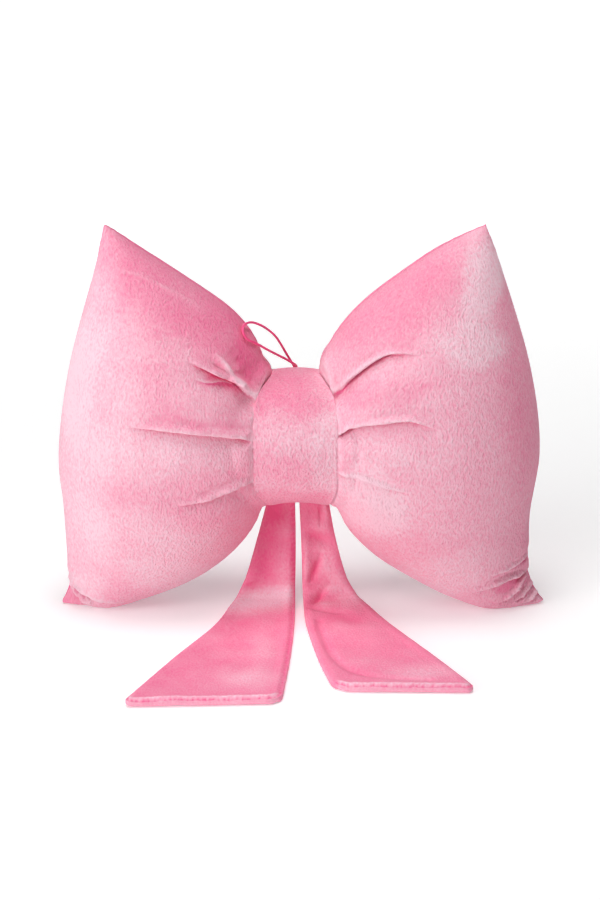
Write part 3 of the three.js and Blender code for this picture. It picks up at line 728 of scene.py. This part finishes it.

# The tails: two layers of plush each, turned out and closed, hung from the band and laid
# forward over the floor. Places on them are by the length of cloth down from the band and the
# place across, x: edges has down, inner and outer x, and groove has down and x. In marks, long
# and wide are half-sizes, turn the slope across, lift how far the mark stands out, and tone how
# much paler it is painted: mostly painted shade in the dents and painted light on the bulges and at
# the bend, with some stroked pile.

TAIL_VOXEL = 1.6
TAIL_TOP_Z = 88
TAIL_STRAIGHT = 66.8
TAIL_BEND = 18
TAIL_BEND_Y = -10
TAIL_HALF_CLOTH = 3.2
TAIL_EDGE_HALF = 2.8
TAIL_LEANS = 6.0
LAID_PLAIN = 0.22
HEM_UNDERCUT = 1.8
HEM_CURL = 1.6
STITCH_DEEP = 1.2
MARK_COLUMNS = "down x long wide turn lift tone"
TAILS = [
    {"node": "tail_left", "name": "left_tail", "length": 275, "hem_slope": -5, "corners": (13, 4.5),
     "outer_growth": 3.6, "inner_growth": 0.4,
     "edges": [(0, -4, -27), (35, -3.4, -36), (76, -4, -47.5), (100, -4.2, -55), (141, -4.9, -66),
               (200, -8, -95), (275, -14, -129.5)],
     "groove": [(-6, -5.9), (40, -5.2), (80, -5.8), (120, -6.4), (160, -7.5), (200, -9.9), (262, -15.6)],
     "groove_wide": 2.1, "groove_deep": 1.3, "groove_shade": 0.25, "plain": 0.12,
     "marks": table(
         MARK_COLUMNS,
         (8, -21, 9, 8, 0.4, -2.4, -0.16),
         (26, -12, 12, 7, 0, 1.1, 0.14),
         (34, -13, 3, 9, -0.2, -0.8, -0.05),
         (44, -27, 26, 7, 0.4, -1, -0.08),
         (58, -13, 17, 9, 0, 1.6, 0.24),
         (76, -37, 4, 7, -0.2, -1.2, -0.08),
         (95, -27, 17, 40, -0.3, 1.2, 0.95),
         (121, -50, 6, 12, -0.35, -2.2, -0.12),
         (150, -42, 20, 24, 0.3, -0.8, -0.04),
         (190, -60, 30, 14, 0, -1, 0.04),
         (243, -88, 16, 24, 0, -0.8, 0.02),
         (186, -29, 36, 10, 0.1, 1.2, 0.22),
         (240, -40, 16, 22, 0, 0.8, 0.38),
     )},
    {"node": "tail_right", "name": "right_tail", "length": 253, "hem_slope": -2, "corners": (19, 4.5),
     "outer_growth": 4.0, "inner_growth": 1.0,
     "edges": [(0, -0.8, 23.6), (35, 0.9, 30), (76, 2.2, 41.6), (100, 3.6, 53.5), (135, 6, 68),
               (200, 15.5, 103), (253, 27, 130)],
     "groove": [(132, 16), (146, 16.5), (183, 22.5), (206, 29), (224, 40), (233, 55), (238, 75), (240, 95)],
     "groove_wide": 3.6, "groove_deep": 1.9, "groove_shade": 0, "plain": 0.22,
     "marks": table(
         MARK_COLUMNS,
         (7, 21.5, 9, 3.5, 0.9, 1.6, 0.22),
         (9, 16.5, 12, 1.3, 1.2, -1.8, -0.1),
         (21, 17, 6, 9, 0.25, 2.4, 0.24),
         (32, 15, 5, 14, 0.35, -3.2, -0.16),
         (52, 5, 24, 3.4, 0.5, 2, 0.24),
         (50, 21, 15, 8, 0, 0.8, 0.36),
         (57, 13, 7, 5, -1.7, -3.6, -0.24),
         (70, 31, 14, 7, 0.3, 0.6, 0.3),
         (79, 24, 5, 8, 0.2, 0.8, 0.26),
         (89, 16, 6, 5, -1.5, -3.4, -0.2),
         (94, 40, 18, 11, 0, 1.8, 0.34),
         (112, 22, 3.6, 14, 0.3, -2.4, -0.06),
         (126, 37, 11, 10, 0.6, -1.8, -0.16),
         (101, 20, 5, 7, 0.1, 0.9, 0.34),
         (146, 34, 14, 9, 0, 0.4, 0.12),
         (208, 48, 9, 18, 0, 0.3, 0.1),
         (160, 56, 26, 12, 0.5, 0.9, 0.06),
         (228, 92, 12, 30, 0, -0.5, 0.36),
     )},
]


def along_tail(points):
    """Where points are on a tail: the length down its cloth, its slope from hanging to lying,
    the height above its middle, and the directions out of its face and up along it."""
    x, y, z = points.T
    bend_z = TAIL_TOP_Z - TAIL_STRAIGHT
    hangs = z > bend_z
    lies = ~hangs & (y <= TAIL_BEND_Y)
    tilt = np.where(hangs, 0, np.where(lies, math.pi / 2, np.arctan2(bend_z - z, y - TAIL_BEND_Y)))
    laid = TAIL_STRAIGHT + TAIL_BEND * math.pi / 2 + TAIL_BEND_Y - y
    down = np.where(hangs, TAIL_TOP_Z - z, np.where(lies, laid, TAIL_STRAIGHT + TAIL_BEND * tilt))
    middle = TAIL_BEND - np.hypot(y - TAIL_BEND_Y, bend_z - z)
    middle = np.where(hangs, TAIL_BEND_Y + TAIL_BEND - y, np.where(lies, z - TAIL_HALF_CLOTH, middle))
    return SimpleNamespace(
        x=x.copy(), down=down, tilt=tilt, middle=middle, on_face=ramp(middle, 0.3, 1.6),
        face=np.stack([0 * x, -np.cos(tilt), np.sin(tilt)], 1),
        along=np.stack([0 * x, -np.sin(tilt), -np.cos(tilt)], 1))


def tail_ripple(at, size, seed, down=0):
    """Noise over a tail's plan, across it alone or with down as well."""
    return ripple(np.stack([at.x, down * at.down, 0 * at.x], 1), size, seed)


def measure_edges(row, edges, at):
    """Finds how far points are across the tail and in from its hem and its nearest edge."""
    inner, outer = [np.interp(at.down, edges[:, 0], edges[:, k]) for k in (1, 2)]
    lean_in, lean_out = [np.interp(at.down, edges[:, 0], np.gradient(edges[:, k], edges[:, 0]))
                         for k in (1, 2)]
    at.side = np.sign(outer - inner)
    at.share = (at.x - inner) / (outer - inner)
    at.from_hem = row["length"] - row["hem_slope"] * (at.share - 0.5) - at.down
    from_inner = (at.x - inner) * at.side / np.hypot(1, lean_in)
    from_outer = (outer - at.x) * at.side / np.hypot(1, lean_out)
    at.edge = np.minimum(np.minimum(from_inner, from_outer), at.from_hem)


def round_hem_corner(row, edges, which, points, at):
    """Draws the points at one end of the hem, 0 inner or 1 outer, in to its round corner."""
    radius = row["corners"][which]
    ends = [np.array([edges[-1, 1], row["length"] + row["hem_slope"] / 2]),
            np.array([edges[-1, 2], row["length"] - row["hem_slope"] / 2])]
    corner = ends[which]
    up = unit(edges[-12, [1 + which, 0]] - edges[-1, [1 + which, 0]])
    across = unit(ends[1 - which] - corner)
    half_angle = 0.5 * math.acos(up @ across)
    centre = corner + unit(up + across) * radius / math.sin(half_angle)
    ray = np.stack([at.x, at.down], 1) - centre
    far = np.maximum(np.linalg.norm(ray, axis=1), 1e-6)
    facing = [-(ray @ unit(line - (line @ other) * other)) / far
              for line, other in ((across, up), (up, across))]
    span = math.cos(math.pi - 2 * half_angle)
    in_corner = (facing[0] > span) & (facing[1] > span) & (ray @ (corner - centre) > 0)
    closer = np.where(in_corner, np.maximum(*facing), 1)
    shift = ray * (closer - 1)[:, None]
    points[:, 0] += shift[:, 0]
    points += at.along * shift[:, 1:]
    at.edge = np.where(in_corner, radius - far * closer, at.edge)


def lay_marks(row, at):
    """How far a tail's creases and stroked marks stand out, and how pale they are painted, with painted
    shade in the dents and painted light on the bulges.
    """
    lift = np.zeros(len(at.x))
    tone = np.zeros(len(at.x))
    for mark in row["marks"]:
        off = at.x - mark["x"]
        near = bell((at.down - mark["down"] - mark["turn"] * off) / mark["long"], 1)
        near = near * bell(off, mark["wide"]) * ramp(at.edge, 0, 3)
        lift += mark["lift"] * near * np.where(at.middle > 0, at.on_face, 0.8 * (at.tilt < 0.8))
        tone += mark["tone"] * near * at.on_face
    return lift, tone


def lay_groove(row, at):
    """How near points are to the groove that the turned edge leaves in the face."""
    nearest = np.full(len(at.x), 99.0)
    for down, x in smooth_line(row["groove"], 64):
        nearest = np.minimum(nearest, np.hypot(at.down - down, at.x - x))
    return bell(nearest, row["groove_wide"]) * at.on_face


def made_tail(row):
    tail = copied_solid(row["node"], row["name"])
    points = read_points(tail)
    at = along_tail(points)
    full = np.sign(at.middle) * np.maximum(np.abs(at.middle), TAIL_EDGE_HALF) - at.middle
    write_points(tail, points + at.face * (full * ramp(at.down, 2, 12))[:, None])
    remeshed(tail, TAIL_VOXEL)
    points = read_points(tail)
    write_points(tail, evened(points, read_edges(tail), np.full(len(points), 0.5), 3))
    subdivided(tail, 1)

    # The outline: round corners at the hem, and edges as full as the photograph's
    points = read_points(tail)
    at = along_tail(points)
    edges = smooth_line(row["edges"], 80)
    measure_edges(row, edges, at)
    for which in (0, 1):
        round_hem_corner(row, edges, which, points, at)
    at.edge = np.maximum(at.edge, 0)
    growth = row["outer_growth"] * ramp(at.share, 0.3, 1) - row["inner_growth"] * ramp(1 - at.share, 0.5, 1)
    points[:, 0] += at.side * growth * ramp(at.down, 40, 140)

    # The face: plump beside its edges, with its creases, its groove and a light rumple
    lift, tone = lay_marks(row, at)
    plump = 0.7 * bell(at.edge - 5, 3.5) * ramp(at.down, 2, 10)
    lift += np.clip(at.middle / TAIL_HALF_CLOTH, -1, 1) * plump + TAIL_LEANS * bell(at.down - 64, 20)
    groove = lay_groove(row, at)
    lift -= row["groove_deep"] * groove
    # Painted shade in the groove
    tone -= 0.05 * groove
    rumple = tail_ripple(at, 16, 3, down=1)
    lift += 0.45 * rumple * at.on_face * ramp(at.edge, 1, 8)

    # The hem: the face's ragged edge stands over a line of small stitches, and curls up a little
    ragged = 0.6 * tail_ripple(at, 2.6, 5) + 0.5 * tail_ripple(at, 9, 6)
    stitches = bell(at.edge - 1.6 - ragged, 1.0) * ramp(at.middle, 0, 1.2) * bell(at.from_hem, 7)
    fringe = bell(at.edge - 3.8 - ragged, 1.7) * at.on_face * bell(at.from_hem, 8)
    lift += (0.9 + 0.5 * tail_ripple(at, 2.4, 8, down=1)) * fringe - STITCH_DEEP * stitches
    undercut = HEM_UNDERCUT * ramp(-at.middle, 0, 2.6) * (1 - ramp(at.from_hem, 2, 7))
    points += at.face * lift[:, None] - at.along * undercut[:, None]
    curl = HEM_CURL * np.maximum(0, tail_ripple(at, 22, 9)) * (1 - ramp(at.from_hem, 3, 22))
    points[:, 2] = np.maximum(points[:, 2], 0.05) + curl * (at.tilt > 1)
    write_points(tail, points)

    # The pile's tone: deeper where the tail hangs, partly painted shade under the knot, paler where it lies
    # on the floor, with the marks' painted shade and light
    nap_and_shading = row["plain"] + (LAID_PLAIN - row["plain"]) * ramp(at.down, 60, 110) + tone + 0.06 * rumple
    # A painted highlight on the hem's fuzzy fringe, along the hem and the edges, and painted shade in the
    # stitch dents and the groove
    tufts = 1 + 0.9 * tail_ripple(at, 1.9, 11, down=2)
    rim = 1.5 * fringe * tufts + 0.5 * bell(at.from_hem, 2.5) + 0.2 * bell(at.edge, 1.5)
    dashes = 0.25 + 0.75 * ramp(tail_ripple(at, 1.8, 7), -0.2, 0.3)
    write_pile(tail, nap_and_shading, rim, np.maximum(0.9 * stitches * dashes, row["groove_shade"] * groove))
    return tail


tails = [made_tail(row) for row in TAILS]

# The hanging loop, along the route of its solid

LOOP_DIAMETER = 2.0
LOOP_ROUTE = [
    (-4.5, 30.4, 194), (-4.7, 30.1, 196.2), (-5.6, 29.2, 198.8), (-7.2, 27.5, 202), (-11, 24, 209.7),
    (-15.5, 20, 219), (-18.8, 17, 225.2), (-22.8, 13.5, 230.7), (-28.8, 8, 237), (-34.5, 2.2, 241.5),
    (-38.5, -2.5, 243.8), (-42, -7.1, 244.4), (-44.4, -11.9, 243.4), (-44.9, -15.7, 240.4),
    (-43.2, -17.2, 236.4), (-40, -15.6, 233), (-36.2, -11.5, 230.1), (-31.8, -6, 225.9),
    (-26.7, 1, 220.6), (-21.8, 7.5, 215.8), (-16.7, 13.2, 211.3), (-11.6, 17.8, 207.1),
    (-7.2, 20.6, 203.6), (-5, 23, 201.4), (-3.7, 25.8, 199.7), (-3.1, 28.1, 198.2),
    (-2.9, 29.2, 197.2), (-2.6, 30.1, 195.7), (-2.5, 30.4, 194),
]
loop_line = smooth_line(LOOP_ROUTE, 160)
loop_curve = bpy.data.curves.new("hanging_cord", "CURVE")
loop_curve.dimensions = "3D"
loop_curve.bevel_depth = LOOP_DIAMETER / 2 * MM
loop_curve.bevel_resolution = 3
loop_curve.use_fill_caps = True
spline = loop_curve.splines.new("POLY")
spline.points.add(len(loop_line) - 1)
for point, place in zip(spline.points, in_frame(loop_line)):
    point.co = (*place, 1)
loop = linked("hanging_cord", loop_curve)


# Finishes

def new_finish(name, **sockets):
    """A material, and its shader with the named sockets set: Base_Color is Base Color."""
    material = bpy.data.materials.new(name)
    material.use_nodes = True
    shader = material.node_tree.nodes["Principled BSDF"]
    for socket, value in sockets.items():
        shader.inputs[socket.replace("_", " ")].default_value = value
    return material, shader


def plush(name, deep, pale, strokes, grain, bump_height):
    """Short pile, from deep to pale by its painted tone with painted shade and light, its painted
    highlights and its painted shade in tucks, over a fine grain. strokes stretches the grain, and grain is
    how strongly it shows."""
    material, shader = new_finish(name, Roughness=0.85, Specular_IOR_Level=0.12, Sheen_Weight=0.2,
                                  Sheen_Roughness=0.4, Sheen_Tint=(1.0, 0.78, 0.86, 1))
    tree = material.node_tree
    where = tree.nodes.new("ShaderNodeTexCoord")

    def grain_noise(scale, detail, stretch):
        turn = tree.nodes.new("ShaderNodeMapping")
        turn.inputs["Scale"].default_value = stretch
        tree.links.new(where.outputs["Object"], turn.inputs["Vector"])
        texture = tree.nodes.new("ShaderNodeTexNoise")
        texture.inputs["Scale"].default_value = scale
        texture.inputs["Detail"].default_value = detail
        texture.inputs["Roughness"].default_value = 0.6
        tree.links.new(turn.outputs["Vector"], texture.inputs["Vector"])
        return texture.outputs["Fac"]

    def painted(attribute):
        node = tree.nodes.new("ShaderNodeAttribute")
        node.attribute_name = attribute
        return node.outputs["Fac"]

    def sums(kind, a, b, c=None):
        node = tree.nodes.new("ShaderNodeMath")
        node.operation = kind
        for socket, value in zip(node.inputs, (a, b, c)):
            if isinstance(value, (int, float)):
                socket.default_value = value
            elif value is not None:
                tree.links.new(value, socket)
        return node.outputs[0]

    nap_and_shading = painted("nap_and_shading")
    fine = grain_noise(640, 1, strokes)
    blotches = grain_noise(60, 3, (1, 1, 0.8))
    stroke = sums("MULTIPLY", sums("ADD", fine, -0.5), sums("MULTIPLY_ADD", nap_and_shading, grain, 0.3 * grain))
    # The painted tone and shading, with the fine grain and random blotches
    pale_share = sums("ADD", nap_and_shading, stroke)
    pale_share = sums("MULTIPLY_ADD", sums("ADD", blotches, -0.5), 0.22, pale_share)
    # Painted highlights make the pile paler, and painted shade in tucks, the seam, stitches and grooves
    # makes it deeper
    pale_share = sums("MULTIPLY_ADD", painted("rim"), 0.4, pale_share)
    pale_share = sums("MULTIPLY_ADD", painted("tuck_shade"), -0.55, pale_share)
    colours = tree.nodes.new("ShaderNodeMix")
    colours.data_type = "RGBA"
    colours.clamp_factor = True
    colours.inputs["A"].default_value = (*deep, 1)
    colours.inputs["B"].default_value = (*pale, 1)
    tree.links.new(pale_share, colours.inputs["Factor"])
    tree.links.new(colours.outputs["Result"], shader.inputs["Base Color"])
    bump = tree.nodes.new("ShaderNodeBump")
    bump.inputs["Strength"].default_value = 1.0
    bump.inputs["Distance"].default_value = bump_height * MM
    tree.links.new(fine, bump.inputs["Height"])
    tree.links.new(bump.outputs["Normal"], shader.inputs["Normal"])
    return material


DEEP_PINK = (0.87, 0.155, 0.315)
PALE_PINK = (0.94, 0.62, 0.71)
TAIL_DEEP_PINK = (0.90, 0.15, 0.32)
TAIL_PALE_PINK = (0.97, 0.66, 0.76)
CORD_PINK = (0.98, 0.09, 0.28)

lobe_plush = plush("lobe_plush", DEEP_PINK, PALE_PINK, (1, 1, 0.5), 0.95, 1.2)
band_plush = plush("band_plush", DEEP_PINK, PALE_PINK, (1, 1, 0.5), 1.1, 1.4)
tail_plush = plush("tail_plush", TAIL_DEEP_PINK, TAIL_PALE_PINK, (1, 0.7, 0.7), 0.8, 0.5)
cord_satin = new_finish("cord_satin", Base_Color=(*CORD_PINK, 1), Roughness=0.4)[0]

for piece, material in ((pillow, lobe_plush), (band, band_plush), (tails[0], tail_plush),
                        (tails[1], tail_plush), (loop, cord_satin)):
    piece.data.materials.append(material)

# Floor and wall, in metres: the floor glows a little, more the farther it is from the bow, and
# the wall shows white in low views and gives no light

FLOOR_SIZE = 30
WALL_RADIUS = 14
WALL_HEIGHT = 12
GLOW_NEAR = 0.26
GLOW_FAR = 0.98
GLOW_STARTS = 0.26
GLOW_ENDS = 2.2
WHITE = (1, 1, 1, 1)

bpy.ops.object.select_all(action="DESELECT")
bpy.ops.mesh.primitive_plane_add(size=FLOOR_SIZE, location=(0, 0, 0))
floor = bpy.context.object
floor.name = "floor"
floor_white, shader = new_finish("floor_white", Base_Color=(0.9, 0.9, 0.9, 1), Roughness=1,
                                 Specular_IOR_Level=0, Emission_Color=WHITE)
tree = floor_white.node_tree
where = tree.nodes.new("ShaderNodeTexCoord")
distance = tree.nodes.new("ShaderNodeVectorMath")
distance.operation = "LENGTH"
tree.links.new(where.outputs["Object"], distance.inputs[0])
glow = tree.nodes.new("ShaderNodeMapRange")
glow.interpolation_type = "SMOOTHSTEP"
glow.inputs["From Min"].default_value = GLOW_STARTS
glow.inputs["From Max"].default_value = GLOW_ENDS
glow.inputs["To Min"].default_value = GLOW_NEAR
glow.inputs["To Max"].default_value = GLOW_FAR
tree.links.new(distance.outputs["Value"], glow.inputs["Value"])
tree.links.new(glow.outputs["Result"], shader.inputs["Emission Strength"])
floor.data.materials.append(floor_white)

bpy.ops.object.select_all(action="DESELECT")
bpy.ops.mesh.primitive_cylinder_add(radius=WALL_RADIUS, depth=WALL_HEIGHT, end_fill_type="NOTHING",
                                    location=(0, 0, WALL_HEIGHT / 2))
wall = bpy.context.object
wall.name = "wall"
wall.data.materials.append(new_finish("wall_white", Base_Color=(0, 0, 0, 1), Emission_Color=WHITE,
                                      Emission_Strength=1)[0])
wall.visible_diffuse = False
wall.visible_glossy = False
wall.visible_shadow = False

# Each soft light: how far round from the camera's side (left is negative), how high, its power

LIGHT_AIM = Vector((0, 0.06, 0.13))
LIGHT_FAR = 2.2
LIGHT_SIZE = 1.2
LIGHTS = table(
    "name round up watts",
    ("side window", -56, 12, 18.6),
    ("above camera", -26, 50, 10.8),
    ("overhead", 0, 85, 28.0),
    ("behind", 180, 55, 4.0),
)
for row in LIGHTS:
    light_data = bpy.data.lights.new(row["name"], "AREA")
    light_data.shape = "DISK"
    light_data.size = LIGHT_SIZE
    light_data.energy = row["watts"]
    turn, up = math.radians(row["round"]), math.radians(row["up"])
    towards = Vector((math.sin(turn) * math.cos(up), -math.cos(turn) * math.cos(up), math.sin(up)))
    put_and_aimed(linked(row["name"], light_data), LIGHT_AIM + LIGHT_FAR * towards, LIGHT_AIM)

# A small white card stood low in front of the tails
card_data = bpy.data.lights.new("card before the tails", "AREA")
card_data.shape = "RECTANGLE"
card_data.size = 0.30
card_data.size_y = 0.10
card_data.energy = 0.035
card = linked("card before the tails", card_data)
card.visible_camera = False
put_and_aimed(card, in_frame((0, -300, 70)), in_frame((0, -20, 30)))

# A small lamp through a tube, on the bend of the tails
lamp_data = bpy.data.lights.new("lamp on the tails", "SPOT")
lamp_data.energy = 1.5
lamp_data.spot_size = math.radians(16)
lamp_data.spot_blend = 1.0
lamp_data.shadow_soft_size = 0.04
tail_lamp = linked("lamp on the tails", lamp_data)
put_and_aimed(tail_lamp, in_frame((0, -500, 230)), in_frame((-4, -40, 4)))

world = bpy.data.worlds.new("studio")
world.use_nodes = True
world.node_tree.nodes["Background"].inputs["Color"].default_value = WHITE
world.node_tree.nodes["Background"].inputs["Strength"].default_value = 0.06
bpy.context.scene.world = world
bpy.context.scene.view_settings.view_transform = "Standard"

# What each piece stands for

for piece, node, slot in ((pillow, "cushion", "lobes"), (band, "knot_band", "band"),
                          (tails[0], "tail_left", "tails"), (tails[1], "tail_right", "tails"),
                          (loop, "hanging_loop", "cord")):
    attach(piece, "root")
    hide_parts(node)
